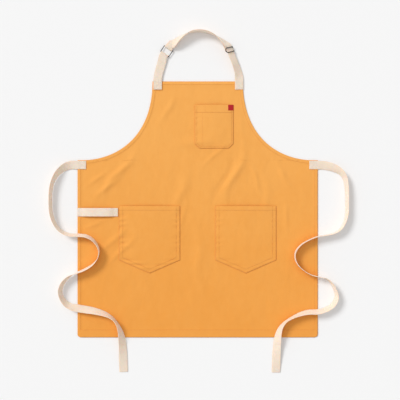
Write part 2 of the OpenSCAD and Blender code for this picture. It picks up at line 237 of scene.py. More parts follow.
# %% Camera
CAMERA_HEIGHT = 2.2
camera = bpy.data.objects.new("Camera", bpy.data.cameras.new("Camera"))
camera.data.lens = 58.4
camera.data.sensor_width = 36
camera.location = (0.0078, -0.1346, CAMERA_HEIGHT)
bpy.context.collection.objects.link(camera)
bpy.context.scene.camera = camera
print("camera looks down from", CAMERA_HEIGHT, "m")

# %% [markdown]
# ## Routes of the webbing
# Webbing is a flat tape: it bends easily across its face and hardly at all edge to edge, so where a
# tie curves along the table it stands on edge. Each route below is a list of points, and each point
# has a lean: 0 lies flat and 90 stands on edge. The distances run outwards from the side seam.

# %% Tie routes: out from the seam, height on the apron, lean
LEFT_TIE = [
    (0, -16, 0), (25, -17, -12), (48, -28, -40), (68, -48, -62), (82, -75, -74), (88, -105, -78),
    (89, -135, -78), (88, -168, -78), (81, -199, -78), (67, -226, -78), (45, -245, -75),
    (20, -252, -72), (-5, -253, -72), (-31, -256, -74), (-53, -268, -80), (-69, -288, -88),
    (-75, -310, -92), (-69, -333, -95), (-52, -353, -100), (-28, -368, -102), (0, -380, -96),
    (26, -393, -78), (47, -415, -70), (56, -441, -70), (49, -468, -68), (29, -490, -55),
    (0, -499, -40), (-30, -504, -40), (-60, -509, -50), (-90, -517, -65), (-115, -529, -80),
    (-132, -546, -85), (-144, -570, -70), (-151, -600, -45), (-154, -636, -28), (-155, -676, -10),
    (-156, -717, 0)]
RIGHT_TIE = [
    (0, -16, 0), (25, -18, -8), (50, -25, -25), (73, -38, -50), (88, -58, -66), (94, -85, -74),
    (96, -118, -77), (96, -151, -78), (95, -182, -80), (87, -212, -84), (72, -235, -87),
    (49, -248, -89), (22, -254, -90), (-4, -258, -91), (-32, -269, -92), (-59, -285, -92),
    (-77, -308, -92), (-79, -332, -91), (-68, -355, -90), (-47, -374, -90), (-26, -386, -90),
    (-2, -393, -88), (23, -398, -85), (42, -413, -80), (56, -438, -76), (61, -463, -73),
    (50, -487, -70), (29, -502, -67), (-2, -511, -64), (-32, -512, -66), (-59, -518, -74),
    (-84, -528, -84), (-108, -542, -88), (-125, -561, -75), (-134, -584, -55), (-138, -611, -36),
    (-140, -648, -20), (-141, -683, -8), (-142, -719, 0)]

# %% Neck strap routes: across, up, lean, height
# BAR_GAP is from a bar's middle to the middle of the tape round it, and BAR_LOW is how far the
# slide's middle bar is below its end bars. FOLD_Y is where the straps leave the bib, and SHORT_X and
# LONG_X are the middles of the two straps there.
SLIDE_AT, SLIDE_DIR, SLIDE_LEAN = (108, 371), 112, 37
SLIDE_LEN, SLIDE_TRAVEL = 16, 34
RING_AT, RING_DIR, RING_LEN = (-105, 369), 56, 24
BAR_GAP, BAR_LOW = 2.35, 4.25
RING_SLACK = RING_LEN * math.sin(math.radians(3)) + 0.2
RING_HEIGHT = BAR_GAP + RING_SLACK + HALF_THICK + 0.4
SLIDE_HEIGHT = HALF_WEB * math.sin(math.radians(SLIDE_LEAN)) + 6.4
FOLD_Y, SHORT_X, LONG_X = 268.8, -135.6, 140.3
HALF_PAIR = 0.95  # from the middle of two layers of webbing to the middle of one


def along(point, heading, distance):
    """The point that far from a place, in the heading."""
    turn = math.radians(heading)
    return (point[0] + distance * math.cos(turn), point[1] + distance * math.sin(turn))


def on_slide_line(distance):
    return (*along(SLIDE_AT, SLIDE_DIR, distance), SLIDE_LEAN, SLIDE_HEIGHT)


SHORT_STRAP = [(SHORT_X, FOLD_Y + 0.4, 0, 3.5), (SHORT_X, FOLD_Y + 5, 0, 3.5), (-133, 290, 0, 3.6),
               (-127, 312, 0, 3.4), (-121.5, 332, 0, 4),
               (*along(RING_AT, RING_DIR, -RING_LEN / 2 - 10), 0, RING_HEIGHT - 0.2)]
STRAP_UP = [(LONG_X, FOLD_Y + 0.4, 0, 2.55), (LONG_X, 283, 10, 3.8), (136.5, 300, 26, 7.6),
            on_slide_line(-SLIDE_TRAVEL - SLIDE_LEN / 2 - 8)]
STRAP_OVER = [on_slide_line(SLIDE_LEN / 2 + 8),
              (93, 394, 48, 14.8), (79, 407, 64, 15.4), (62, 419, 78, 15.6), (42, 429, 87, 15.8),
              (24, 434, 90, 15.8), (5, 436, 90, 15.8), (-16, 434, 87, 15.8), (-36, 427, 77, 15.6),
              (-53, 417, 64, 15.2), (-68, 406, 48, 13.8), (-81, 395, 28, 10.6),
              (*along(RING_AT, RING_DIR, RING_LEN / 2 + 14), 2, RING_HEIGHT + 1.6)]
print("routes for", 2, "ties and", 3, "stretches of neck strap")

# %% [markdown]
# ## From a route to a strip
# A smooth curve through the points gives the centre of the tape, and the lean says which way its
# width points. The strip starts as a flat grid, because a grid already has the right faces, and each
# of its rows is then laid across the route. A Solidify modifier gives it thickness. The same grid
# carries a UV map in metres, so the weave runs along the tape wherever it turns.

# %% Smooth curve and the tape's own directions


def smooth(points, steps=6):
    """More points on the curve that passes through all of these."""
    p = np.array(points, float)
    last = len(p) - 1
    found = []
    for i in range(last):
        a, b, c, d = p[max(i - 1, 0)], p[i], p[i + 1], p[min(i + 2, last)]
        for t in np.arange(steps) / steps:
            found.append((2 * b + (c - a) * t + (2 * a - 5 * b + 4 * c - d) * t**2
                          + (3 * b - a - 3 * c + d) * t**3) / 2)
    return np.array([*found, p[last]])


def tape_rows(route, offset=0.0):
    """(centre, width direction) of the tape at each point of a route in millimetres."""
    rows = []
    for i, (x, y, lean, z) in enumerate(route):
        step = route[min(i + 1, len(route) - 1)] - route[max(i - 1, 0)]
        heading, tilt = math.atan2(step[1], step[0]), math.radians(lean)
        width = Vector((-math.sin(heading) * math.cos(tilt), math.cos(heading) * math.cos(tilt),
                        math.sin(tilt)))
        up = Vector((math.cos(heading), math.sin(heading), 0)).cross(width)
        rows.append((Vector((x, y, z)) * MM + up * offset * MM, width))
    return rows


# %% A grid laid along rows of points


def new_piece(name, bm, body, *stands_for):
    """Makes the mesh an object that rides on a body and replaces the named solids."""
    mesh = bpy.data.meshes.new(name)
    bm.to_mesh(mesh)
    bm.free()
    piece = bpy.data.objects.new(name, mesh)
    bpy.context.collection.objects.link(piece)
    for face in mesh.polygons:
        face.use_smooth = True
    if body:
        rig.ride(piece, body)
    if stands_for:
        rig.replaces(piece, *stands_for)
    return piece


def laid_grid(columns, rows, place):
    """A flat grid whose corner (i, j) is moved to place(i, j), with the faces' order kept."""
    bm = bmesh.new()
    bmesh.ops.create_grid(bm, x_segments=columns, y_segments=rows, size=1)
    spots = {}
    for v in bm.verts:
        i, j = round((v.co.x + 1) / 2 * columns), round((v.co.y + 1) / 2 * rows)
        spots[v] = (i, j)
        v.co = place(i, j)
    return bm, spots


def thicken(piece, thickness, offset):
    solid = piece.modifiers.new("Thickness", "SOLIDIFY")
    solid.thickness, solid.offset = thickness, offset


def soften(piece, label, width):
    """Rounds a piece's sharp edges, and hands back the modifier."""
    edges = piece.modifiers.new(label, "BEVEL")
    edges.width, edges.segments, edges.limit_method = width, 2, "ANGLE"
    return edges


TAPE_COLUMNS = 8


def tape(name, rows, body, stands_for):
    """A strip of webbing through rows of (centre, width direction), and its length."""
    run = np.cumsum([0] + [(b[0] - a[0]).length for a, b in zip(rows, rows[1:])])

    def place(i, j):
        centre, across = rows[j]
        return centre + across * WEB_WIDTH * (i / TAPE_COLUMNS - 0.5)

    bm, spots = laid_grid(TAPE_COLUMNS, len(rows) - 1, place)
    uv = bm.loops.layers.uv.new("Tape")
    for face in bm.faces:
        for loop in face.loops:
            i, j = spots[loop.vert]
            loop[uv].uv = (WEB_WIDTH * i / TAPE_COLUMNS, run[j])
    piece = new_piece(name, bm, body, *stands_for)
    thicken(piece, WEB_THICK, 0)
    soften(piece, "Edges", 0.35 * WEB_THICK)
    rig.slot(piece, "webbing")
    print(name, "is", round(run[-1] * 1000), "mm of tape in", len(rows), "rows")
    return piece, run[-1]


# %% [markdown]
# ## Waist ties
# Each tie leaves the side seam flat, turns on edge in its first few centimetres and wanders down
# beside and over the apron. Its first stretch is a piece of its own: it is sewn to the panel at one
# end and has to twist when the tie is lifted, so it bends between the two bodies.

# %% Ties, in millimetres: the side seam, how far from it the free tie starts, and the sewn tab
SEAM_OUT, TIE_SPLIT = 407, 48
TAB_LENGTH, TAB_Y = 29, -16


def tie_route(points):
    """The tie in millimetres, with the height that its lean and what it lies on give it."""
    route = []
    for out, y, lean in smooth(points):
        leaving = 1.8 * max(0.0, 1 - max(out, 0) / 24) if y > -40 else 0.3
        over_apron = out < 22 and -620 < y < -40
        under = 2.3 if over_apron else max(0.3, leaving)
        on_edge = HALF_WEB * abs(math.sin(math.radians(lean)))
        route.append((-SEAM_OUT - out, y, lean, under + on_edge + HALF_THICK))
    return np.array(route)


def mirrored(rows):
    flip = Vector((-1, 1, 1))
    return [(c * flip, w * flip) for c, w in rows]


def make_tie(side, points, flip):
    """The tie in two pieces: its root, sewn to the panel, and the free tie."""
    route = tie_route(points)
    split = int(np.argmax(-route[:, 0] - SEAM_OUT > TIE_SPLIT))
    rows = tape_rows(route)
    down = Vector((0, -1, 0))
    tab_x = [-SEAM_OUT + TAB_LENGTH * (1 - k / 4) for k in range(4)]
    sewn = [(Vector((x, TAB_Y, DOUBLE / MM + HALF_THICK)) * MM, down) for x in tab_x]
    rows[0] = (rows[0][0], down)
    start, free = sewn + rows[:split + 1], rows[split:]
    if flip:
        start, free = mirrored(start), mirrored(free)
    body = side + "_tie"
    root, _ = tape(side + "_tie_root", start, None, [side + "_tie_tab"])
    edge = start[len(sewn)][0]
    nearest = min(abs(c.x + w.x * k * WEB_WIDTH / 2) for c, w in [start[-1]] for k in (-1, 1))
    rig.blend(root, "apron", body, edge, (math.copysign(nearest, edge.x), edge.y, edge.z))
    tie, run = tape(body + "_webbing", free, body, [body])
    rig.cord(tie, exit=free[0][0], length=run, diameter=WEB_WIDTH, far_end="bare",
            stiffness="limp", lay="loose", path=[c for c, w in free])


make_tie("left", LEFT_TIE, False)
make_tie("right", RIGHT_TIE, True)

# %% [markdown]
# ## The neck strap
# The short strap is folded round the ring's lower bar. The long strap runs up from the bib through
# the slide, over the top, round the ring's upper bar and back to the slide, so two layers lie face
# to face over the top. A fold is half a turn of the tape round its bar.

# %% A fold round a bar


def fold_rows(bar, heading, height, steps=12):
    """Half a turn round a bar, from the layer above it to the layer below it."""
    turn = math.radians(heading)
    way = Vector((math.cos(turn), math.sin(turn), 0))
    width = Vector((-math.sin(turn), math.cos(turn), 0))
    centre = Vector((*bar, RING_HEIGHT)) * MM
    rows = []
    for k in range(steps + 1):
        a = math.pi / 2 - math.pi * k / steps
        out = BAR_GAP * math.cos(a) * way + Vector((0, 0, height * math.sin(a)))
        rows.append((centre + out * MM, width))
    return rows


# %% Short strap, folded round the ring
short_route = smooth(SHORT_STRAP)
above, below = tape_rows(short_route, HALF_PAIR), tape_rows(short_route, -HALF_PAIR)
tab_y = [0.2395, 0.247, 0.254, 0.261]
tab_low = DOUBLE + HALF_THICK * MM
tab_top, tab_under = ([(Vector((SHORT_X * MM, y, z)), Vector((-1, 0, 0))) for y in tab_y]
                      for z in (tab_low + 2 * HALF_PAIR * MM, tab_low))
lower_bar = along(RING_AT, RING_DIR, -RING_LEN / 2)
short_rows = (tab_top + above + fold_rows(lower_bar, RING_DIR, BAR_GAP) + below[::-1]
              + tab_under[::-1])
short_strap, _ = tape("short_strap_webbing", short_rows, None,
                      ["short_neck_strap", "short_strap_tab"])
bend_start, bend_end = (0, 0.264, 0), (0, 0.286, 0)
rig.blend(short_strap, "apron", "neck_loop", bend_start, bend_end)

# %% Long strap: up through the slide, over, round the ring
over_route = np.array([on_slide_line(SLIDE_LEN / 2 + 2), *smooth(STRAP_OVER)])
up_route = np.array([*smooth(STRAP_UP), on_slide_line(-SLIDE_TRAVEL - SLIDE_LEN / 2 - 2)])
tab_rows = [(Vector((LONG_X * MM, y, tab_low)), Vector((-1, 0, 0))) for y in tab_y]
upper_bar = along(RING_AT, RING_DIR, RING_LEN / 2)
turn_rows = fold_rows(upper_bar, RING_DIR + 180, BAR_GAP + RING_SLACK)
back_rows = tape_rows(over_route, -2.35)[::-1]
SPLIT_BACK = len(back_rows) - 26
long_rows = (tab_rows + tape_rows(up_route) + tape_rows(over_route) + turn_rows
             + back_rows[:SPLIT_BACK + 1])
long_strap, _ = tape("long_strap_webbing", long_rows, None,
                     ["long_neck_strap", "long_strap_tab"])
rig.blend(long_strap, "apron", "neck_loop", bend_start, bend_end)

# %% [markdown]
# The last stretch of the strap comes back under the other layer and is sewn round the slide's
# middle bar. It moves with the slide, so it stretches between the two bodies as the slide travels.

# %% The end sewn round the slide
slide_turn = (Matrix.Translation(Vector((*SLIDE_AT, SLIDE_HEIGHT)) * MM)
              @ Matrix.Rotation(math.radians(SLIDE_DIR), 4, "Z")
              @ Matrix.Rotation(math.radians(SLIDE_LEAN), 4, "X"))
across_slide = slide_turn.to_3x3() @ Vector((0, 1, 0))


def in_slide(x, z):
    """A row of tape in the slide's own directions, in millimetres."""
    return slide_turn @ (Vector((x, 0, z)) * MM), across_slide


LOW = -BAR_LOW - BAR_GAP
wrap = [in_slide(18, LOW + 0.9), in_slide(13, LOW + 0.2), in_slide(8, LOW), in_slide(4, LOW)]
wrap += [in_slide(BAR_GAP * math.cos(a), -BAR_LOW + BAR_GAP * math.sin(a))
         for a in np.radians(np.arange(-90, -271, -15))]
wrap += [in_slide(4, -2.6), in_slide(8, -3.6), in_slide(13, -4.3)]
end_rows = back_rows[SPLIT_BACK:-9] + wrap
end_strap, _ = tape("long_strap_end_webbing", end_rows, None, ["long_strap_end"])
far, near = (slide_turn @ (Vector((x, 0, 0)) * MM) for x in (60, 13))
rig.blend(end_strap, "neck_loop", "slide", far, near)

# %% [markdown]
# ## The cloth's own relief
# Twill that was folded and pressed never lies quite flat. The apron has a few long soft folds that
# run down from the armholes and the chest pocket, and a little unevenness everywhere. One function
# gives that height, and every piece that is sewn to the panel adds the same height, so nothing
# floats off it or sinks into it.

# %% Folds: a place, the way it runs, its length, its width, its height
FOLDS = [
    (-0.262, -0.035, 236, 0.120, 0.014, 2.2), (-0.305, -0.090, 232, 0.090, 0.012, 1.6),
    (-0.290, -0.275, 235, 0.080, 0.013, 1.5), (0.285, -0.040, 310, 0.090, 0.013, 1.8),
    (0.125, -0.050, 252, 0.120, 0.016, 2.4), (0.085, -0.075, 250, 0.130, 0.013, -1.2),
    (-0.055, -0.110, 262, 0.110, 0.020, 1.6), (0.235, -0.130, 280, 0.090, 0.018, 1.2),
    (-0.105, 0.165, 250, 0.070, 0.013, 1.3), (0.005, -0.330, 275, 0.150, 0.022, 1.3),
    (-0.010, 0.060, 200, 0.090, 0.020, 1.0), (0.150, 0.120, 290, 0.060, 0.012, 1.2),
    (-0.345, -0.065, 230, 0.075, 0.010, 1.3), (-0.362, -0.222, 216, 0.055, 0.010, 1.5),
    (-0.255, -0.305, 236, 0.080, 0.011, 1.5),
    (0.200, -0.070, 300, 0.100, 0.010, 1.1), (0.300, -0.190, 284, 0.070, 0.010, 0.9),
    (-0.050, -0.190, 268, 0.130, 0.012, 0.8), (0.060, 0.020, 236, 0.080, 0.010, 0.9)]
FLAT_RIM = 0.075  # how far in from its edges the cloth lies flatter


def armhole_width(y):
    """Half the panel's width at a height on the bib, from the armhole's curve."""
    low, high = 0.0, 1.0
    for _ in range(30):
        t = (low + high) / 2
        low, high = (t, high) if arm_point(t)[1] > y else (low, t)
    return arm_point(t)[0]


def arm_point(t):
    """A point of the armhole's curve, from the bib top at 0 to the side seam at 1."""
    a, b = (HALF_BIB, BIB_TOP), (HALF_BIB, BIB_TOP - 0.2)
    c, d = (HALF_WIDTH - 0.12, -0.005), (HALF_WIDTH, 0.0)
    s = 1 - t
    return [s**3 * p + 3 * s * s * t * q + 3 * s * t * t * r + t**3 * e
            for p, q, r, e in zip(a, b, c, d)]


arm_curve = np.array([arm_point(t) for t in np.linspace(0, 1, 160)])


def inside(x, y):
    """How far a point is from the armholes, the sides, the bib top and the bottom hem."""
    arm = np.hypot(arm_curve[:, 0] - abs(x), arm_curve[:, 1] - y).min() if y > -0.05 else 1.0
    return arm, HALF_WIDTH - abs(x), BIB_TOP - y, y - HEM_EDGE


def relief(x, y):
    """Height of the cloth's folds above the table, in metres."""
    rim = min(1.0, min(inside(x, y)) / FLAT_RIM)
    height = 1.6 + noise.noise(Vector((x * 9, y * 7, 3)))
    height += 0.9 * noise.noise(Vector((x * 26 + y * 12, y * 15, 8)))
    for fx, fy, way, length, width, rise in FOLDS:
        turn = math.radians(way)
        dx, dy = x - fx, y - fy
        on = dx * math.cos(turn) + dy * math.sin(turn)
        off = dy * math.cos(turn) - dx * math.sin(turn)
        off += 0.010 * math.sin(on * 30)
        if abs(on) < 2 * length and abs(off) < 4 * width:
            height += 2.6 * rise * math.exp(-(on / length * 1.5) ** 2 - (off / width * 1.3) ** 2)
    return max(0.0, 0.75 * height * rim * rim * (3 - 2 * rim)) * MM


def hem_depth(x, y):
    """Distance past the inner edge of the hems, so it is negative on the hems."""
    arm, side, top, bottom = inside(x, y)
    return min(arm - SIDE_HEM, side - SIDE_HEM, top - SIDE_HEM, bottom - BOTTOM_HEM)


def cloth_top(x, y):
    """Height of the panel's front face."""
    step = min(1.0, max(0.0, 0.5 - hem_depth(x, y) / 0.004))
    return CLOTH * (1 + step * step * (3 - 2 * step)) + relief(x, y)


print("relief at the middle:", round(relief(0, -0.1) * 1000, 2), "mm")

# %% [markdown]
# ## The panel
# The panel is one cut of cloth: a rectangle for the skirt whose top is scooped by the armholes. The
# grid is laid so that its edges follow the outline, with its rows crowded where the armhole runs
# nearly level. It keeps the distance to the hem line as an attribute, and the finish uses that for
# the pressed crease and the pull of the stitches.

# %% Panel
SKIRT_ROWS, COLUMNS = 170, 208
skirt_y = np.linspace(HEM_EDGE, 0, SKIRT_ROWS + 1)
bib_t = np.linspace(1, 0, 64)
bib_y = [arm_point(t)[1] for t in bib_t[1:] if arm_point(t)[1] > 0.0004]
panel_y = np.array([*skirt_y, *bib_y])
panel_w = [HALF_WIDTH if y <= 0 else armhole_width(y) for y in panel_y]
CORNER = 10 * MM


def panel_place(i, j):
    y, half = panel_y[j], panel_w[j]
    side = i / COLUMNS * 2 - 1
    near = y - HEM_EDGE
    if near < CORNER:
        half -= CORNER - math.sqrt(CORNER**2 - (CORNER - near) ** 2)
    x = side * half
    return Vector((x, y, cloth_top(x, y)))


bm, _ = laid_grid(COLUMNS, len(panel_y) - 1, panel_place)
hem = bm.verts.layers.float.new("hem")
for v in bm.verts:
    v[hem] = hem_depth(v.co.x, v.co.y)
panel = new_piece("panel_cloth", bm, "apron", "apron_panel")
thicken(panel, CLOTH, -1)
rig.slot(panel, "twill")
print("panel has", len(panel.data.polygons), "faces on its front")

# %% [markdown]
# ## Pockets
# A pocket is a patch with its edges turned under, sewn down on three sides. It is laid as a grid
# between its mouth and its foot: the foot comes to a point on the hip pockets and has cut corners
# on the chest pocket. The middle stands off the apron a little, as a used pocket does, and the sewn
# edges roll down to the panel. Two attributes keep the distance from the sewn edges and from the
# mouth, for the seams.

# %% Pocket outlines, from their packed boxes
EDGE_HEIGHT, EDGE_ROLL = 2.1 * MM, 2.0 * MM
PUFF = 4.4 * MM


class Pocket:
    """A patch pocket: its box, the drop of its point, the cut of its corners, its mouth hem."""

    def __init__(self, node, point, cut, mouth_hem):
        low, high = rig.box(node)
        self.node, self.point, self.cut, self.hem = node, point * MM, cut * MM, mouth_hem * MM
        self.middle, self.half, self.top = (low.x + high.x) / 2, (high.x - low.x) / 2, high.y
        self.side = high.y - low.y - self.point

    def foot(self, u):
        return (self.side + self.point * (1 - abs(u))
                - max(0.0, self.cut - self.half * (1 - abs(u))))

    def spot(self, u, v):
        """Where fractions u of the half width and v of the height are on the apron."""
        deep = self.foot(0)
        mouth = self.hem / deep
        fall = v * deep if v <= mouth else \
            self.hem + (v - mouth) / (1 - mouth) * (self.foot(u) - self.hem)
        return self.middle + u * self.half, self.top - fall

    def top_of_cloth(self, u, v):
        """The front face's point at those fractions."""
        x, y = self.spot(u, v)
        puff = PUFF * (1 - u * u) * (1 - v * v)
        return x, y, CLOTH + relief(x, y) + puff + EDGE_HEIGHT - self.roll(x, y)

    def edge(self, x, y):
        """Distance inside the sewn edges."""
        u = abs(x - self.middle) / self.half
        slope = math.hypot(1, self.point / self.half)
        down = (self.side + self.point * (1 - u) - (self.top - y)) / slope
        corner = (self.half * (1 - u) + self.side - (self.top - y) - self.cut) / math.sqrt(2)
        return min(self.half * (1 - u), down, corner if self.cut else 1.0)

    def roll(self, x, y):
        """How far the turned edge has rolled down, from its crown to the panel."""
        near = min(max(self.edge(x, y), 0.0) / EDGE_ROLL, 1.0)
        return 0.85 * EDGE_HEIGHT * (1 - math.sqrt(1 - (1 - near) ** 2))


left_hip = Pocket("left_hip_pocket", 45, 0, 15.6)
right_hip = Pocket("right_hip_pocket", 45, 0, 15.6)
chest = Pocket("chest_pocket", 0, 16, 27)
print("hip pocket", round(left_hip.half * 2, 3), "wide,", round(left_hip.foot(0), 3), "deep")

# %% Pocket cloth, with small ripples along its left edge, in millimetres
RIPPLES = {"left_hip_pocket": 1.1, "right_hip_pocket": 0.5, "chest_pocket": 0.3}


def crowd(k, count):
    """Fraction of a half width or height, with more lines near the sewn edge."""
    t = k / count
    return 1.2 * t - 0.2 * t**5 if abs(t) < 1 else math.copysign(1, t)


def pocket_cloth(pocket, columns, rows):
    height = RIPPLES[pocket.node] * MM

    def place(i, j):
        u, v = crowd(i * 2 - columns, columns), crowd(j, rows)
        x, y, z = pocket.top_of_cloth(u, v)
        near = pocket.edge(x, y)
        pull = math.exp(-((near - 0.012) / 0.012) ** 2) * (1 if x < pocket.middle else 0.5)
        z += height * pull * math.sin(y * 250 + 1.5 * math.sin(y * 90)) * min(1, near / 0.004)
        return Vector((x, y, z))

    bm, _ = laid_grid(columns, rows, lambda i, j: place(i, rows - j))
    edge, mouth = bm.verts.layers.float.new("edge"), bm.verts.layers.float.new("mouth")
    for v in bm.verts:
        v[edge], v[mouth] = pocket.edge(v.co.x, v.co.y), pocket.top - v.co.y
    piece = new_piece(pocket.node + "_cloth", bm, "apron", pocket.node)
    thicken(piece, 0.9 * DOUBLE, -1)
    soften(piece, "Turned edges", 0.45 * MM).angle_limit = math.radians(50)
    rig.slot(piece, "twill")
    print(piece.name, "has", len(piece.data.polygons), "faces on its front")
    return piece


left_hip_cloth = pocket_cloth(left_hip, 70, 76)
right_hip_cloth = pocket_cloth(right_hip, 70, 76)
chest_cloth = pocket_cloth(chest, 52, 58)

# %% [markdown]
# ## Tag
# A small woven label is folded over the corner of the chest pocket and caught in its seams. It is
# left plain. Its outline is the same fraction of the pocket that it covers, so it follows the cloth.

# %% Tag
TAG_WIDE, TAG_TALL = 18 * MM, 19 * MM
TAG_U, TAG_V = 1 - 2 * TAG_WIDE / (2 * chest.half), TAG_TALL / chest.foot(0)
TAG_GRID, TAG_OVER = 14, 0.004


def tag_place(i, j):
    """A point of the tag, which reaches a little past the pocket's side and mouth."""
    u = TAG_U + (1 + TAG_OVER - TAG_U) * i / TAG_GRID
    v = TAG_V * (1 - j / TAG_GRID) - TAG_OVER
    x, y, z = chest.top_of_cloth(min(u, 1), max(v, 0))
    return Vector((x + (u > 1) * 0.3 * MM, y - min(v, 0) * 0.1, z + 0.75 * MM))


bm, _ = laid_grid(TAG_GRID, TAG_GRID, tag_place)
tag = new_piece("woven_tag", bm, "apron", "pocket_tag")
thicken(tag, 0.7 * MM, -1)
soften(tag, "Folded edges", 0.25 * MM)
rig.slot(tag, "tag")
print("tag is", round((1 - TAG_U) * chest.half * 1000), "mm wide")

# %% [markdown]
# ## Towel loop
# A short length of the same webbing, sewn down beside the left hip pocket and into the side seam,
# with enough slack to pass a towel behind it.

# %% Towel loop: how far along it is, and how far off the cloth, in millimetres
loop_low, loop_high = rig.box("towel_loop")
loop_y = (loop_low.y + loop_high.y) / 2
LIFT = [(0, 0.3), (11, 0.3), (24, 4.5), (36, 6), (69, 6.8), (101, 6), (113, 4.5), (126, 0.3),
        (137, 0.3)]


def under_loop(x):
    """The highest that the folds reach under the loop's width."""
    return max(relief(x, loop_y + k * 7 * MM) for k in (-2, -1, 0, 1, 2))


def loop_row(along_loop, lift):
    x = -HALF_WIDTH + along_loop * MM
    height = DOUBLE + (HALF_THICK + max(lift, 0.25)) * MM + under_loop(x)
    return Vector((x, loop_y, height)), Vector((0, 1, 0))


tape("towel_loop_webbing", [loop_row(*p) for p in smooth(LIFT)], "apron", ["towel_loop"])

# %% [markdown]
# ## Stitching
# Every seam is a row of single stitches. One stitch is a short, fat grain of thread, so a squashed
# sphere with few faces is enough, and it is set down again and again along the seam's line with a
# small gap between one and the next, a little sunk into the cloth at both ends.

# %% One seam of stitches
STITCH, STITCH_GAP, THREAD = 2.9 * MM, 0.9 * MM, 0.85 * MM


def set_stitches(bm, line):
    """Stitches along a line of points that lie on the cloth."""
    points = [Vector(p) for p in line]
    run = np.cumsum([0] + [(b - a).length for a, b in zip(points, points[1:])])
    count = max(1, int(run[-1] / (STITCH + STITCH_GAP)))
    pitch = run[-1] / count
    columns = np.array(points)
    for k in range(count):
        ends = [Vector([np.interp(s, run, columns[:, c]) for c in range(3)])
                for s in (k * pitch, (k + 1) * pitch - STITCH_GAP)]
        way = (ends[1] - ends[0]).normalized()
        turn = way.to_track_quat("X", "Z").to_matrix().to_4x4()
        size = Matrix.Diagonal(((ends[1] - ends[0]).length / 2, THREAD / 2, 0.42 * THREAD, 1))
        middle = Matrix.Translation((ends[0] + ends[1]) / 2 + Vector((0, 0, 0.16 * MM)))
        on_side = Matrix.Rotation(math.pi / 2, 4, "Y")
        bmesh.ops.create_uvsphere(bm, u_segments=6, v_segments=5, radius=1,
                                  matrix=middle @ turn @ size @ on_side)
    return count


def seam(node, lines, body="apron"):
    """The stitched seam that stands for a node, along one or more lines."""
    bm = bmesh.new()
    count = sum(set_stitches(bm, line) for line in lines)
    piece = new_piece(node.replace("_stitching", "_stitches"), bm, body, node)
    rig.slot(piece, "thread")
    print(piece.name, count, "stitches")
    return piece


# %% Seams of the panel


def on_panel(points):
    return [(x, y, cloth_top(x, y)) for x, y in points]


def straight(a, b, steps=60):
    return [(a[0] + (b[0] - a[0]) * k / steps, a[1] + (b[1] - a[1]) * k / steps)
            for k in range(steps + 1)]


def arm_line(inset):
    """The armhole's curve moved in from the edge."""
    step = np.gradient(arm_curve, axis=0)
    step /= np.hypot(*step.T)[:, None]
    moved = arm_curve + inset * np.stack([step[:, 1], -step[:, 0]], 1)
    return [tuple(p) for p in moved[12:-8]]


side_x, hem_y = HALF_WIDTH - SIDE_HEM + 1.5 * MM, HEM_EDGE + BOTTOM_HEM - 2 * MM
under_tab, tab_inner = -33 * MM, HALF_WIDTH - 31 * MM
arm_in = [p for p in arm_line(SIDE_HEM - 2 * MM) if p[0] < tab_inner and p[1] < 238 * MM]
side_ends = [(side_x, hem_y + 2 * MM, under_tab), (-side_x, hem_y + 2 * MM, loop_low.y - MM),
             (-side_x, loop_high.y + MM, under_tab)]
side_seams = seam("side_stitching", [
    on_panel(straight((x, low), (x, high), 120)) for x, low, high in side_ends])
arm_seams = seam("armhole_stitching", [
    on_panel([(k * x, y) for x, y in arm_in]) for k in (-1, 1)])
top_seam = seam("bib_top_stitching", [on_panel(straight(
    (-0.120, BIB_TOP - SIDE_HEM + 1.5 * MM), (0.125, BIB_TOP - SIDE_HEM + 1.5 * MM)))])
hem_seam = seam("hem_stitching", [on_panel(straight(
    (-HALF_WIDTH + 2 * MM, hem_y), (HALF_WIDTH - 2 * MM, hem_y), 160))])

# %% Seams of the pockets


def on_pocket(pocket, a, b, steps=40):
    """A line from fractions a to fractions b of a pocket."""
    return [pocket.top_of_cloth(a[0] + (b[0] - a[0]) * k / steps, a[1] + (b[1] - a[1]) * k / steps)
            for k in range(steps + 1)]


def pocket_lines(pocket, insets, mouth):
    """Seams at those distances inside the sewn edges, and one that holds the mouth's hem."""
    lines = []
    for inset in insets:
        u, v = 1 - inset / pocket.half, 1 - inset / pocket.foot(1)
        lines += [on_pocket(pocket, (-u, 0.012), (-u, v)), on_pocket(pocket, (-u, v), (u, v), 80),
                  on_pocket(pocket, (u, v), (u, 0.012))]
    deep = (pocket.hem - mouth) / pocket.foot(0)
    ends = 1 - insets[-1] / pocket.half - 0.01
    return [*lines, on_pocket(pocket, (-ends, deep), (ends, deep), 60)]


HIP_INSETS, CHEST_INSETS, MOUTH_INSET = (2.5 * MM, 13 * MM), (2 * MM, 7 * MM), 1.5 * MM
left_hip_seams = seam("left_hip_stitching", pocket_lines(left_hip, HIP_INSETS, MOUTH_INSET))
right_hip_seams = seam("right_hip_stitching", pocket_lines(right_hip, HIP_INSETS, MOUTH_INSET))
chest_seams = seam("chest_stitching", pocket_lines(chest, CHEST_INSETS, MOUTH_INSET))
pen_u = -1 + 26 * MM / chest.half
tack_u = pen_u + 0.145
pen_seam = seam("pen_slot_stitching", [
    on_pocket(chest, (pen_u, 0.19), (pen_u, 0.95)),
    on_pocket(chest, (tack_u, 0.01), (tack_u, 0.17), 12)])

# %% Seams of the webbing: a box with a cross in it holds each sewn end


def box_and_cross(node, x, y, z):
    """A square with its diagonals, as the seam that holds a sewn end."""
    half = 11 * MM
    corners = [(-half, -half), (half, -half), (half, half), (-half, half), (-half, -half),
               (half, half)]
    lines = [straight(p, q, 12) for p, q in zip(corners, corners[1:])]
    lines.append(straight((-half, half), (half, -half), 12))
    seam(node, [[(x + p, y + q, z) for p, q in line] for line in lines])


